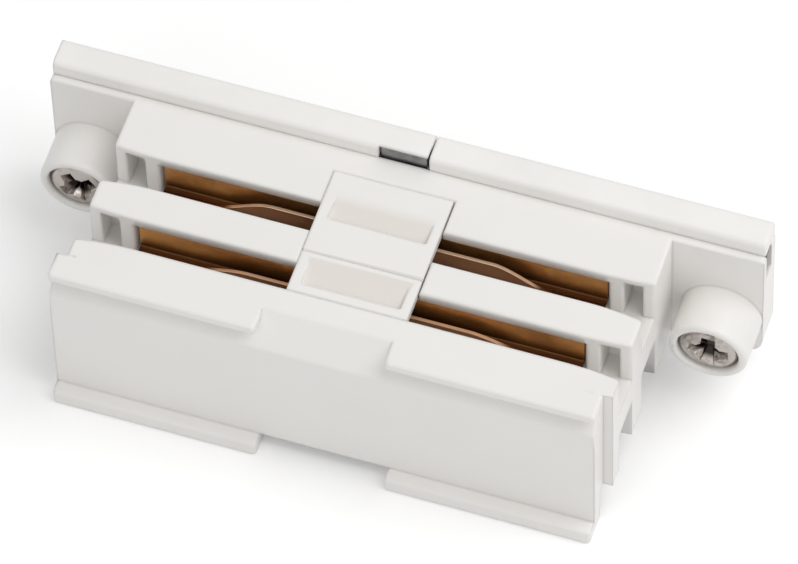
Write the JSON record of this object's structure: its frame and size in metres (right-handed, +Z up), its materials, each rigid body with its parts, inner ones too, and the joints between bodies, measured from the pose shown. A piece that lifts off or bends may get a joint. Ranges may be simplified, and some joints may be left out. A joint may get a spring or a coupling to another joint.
{
  "type": "track straight connector",
  "caption": "White moulded straight connector that joins lighting track lengths end to end, with slotted comb, copper contacts, earth strip and clamping screws.",
  "frame": {"origin": "under the middle of the connector, on the surface that it rests on", "axes": "+X along the track, +Y from the nose to the back plate, +Z up out of the contact slots"},
  "size_m": [0.072, 0.0272, 0.0215],
  "materials": {
    "white_plastic": "fine satin white moulding",
    "cover_plastic": "satin white moulding, slightly warmer",
    "copper_alloy": "bright rolled copper alloy sheet",
    "strip_steel": "plain rolled steel",
    "screw_nickel": "nickel plated"
  },
  "bodies": {
    "connector": {"housing": "white_plastic", "rail_left": "cover_plastic", "rail_right": "cover_plastic", "bridge_front": "white_plastic", "bridge_rear": "white_plastic", "front_contact": "copper_alloy", "rear_contact": "copper_alloy", "earth_strip": "strip_steel"},
    "left_screw": {"screw_left": "screw_nickel"},
    "right_screw": {"screw_right": "screw_nickel"}
  },
  "joints": [
    {"name": "left_screw_turn", "type": "hinge", "parent": "connector", "child": "left_screw", "pos_m": [-0.03195, 0.00671, 0.0099], "axis": [0, -1, 0], "continuous": true},
    {"name": "right_screw_turn", "type": "hinge", "parent": "connector", "child": "right_screw", "pos_m": [0.03195, 0.00671, 0.0099], "axis": [0, -1, 0], "continuous": true}
  ]
}
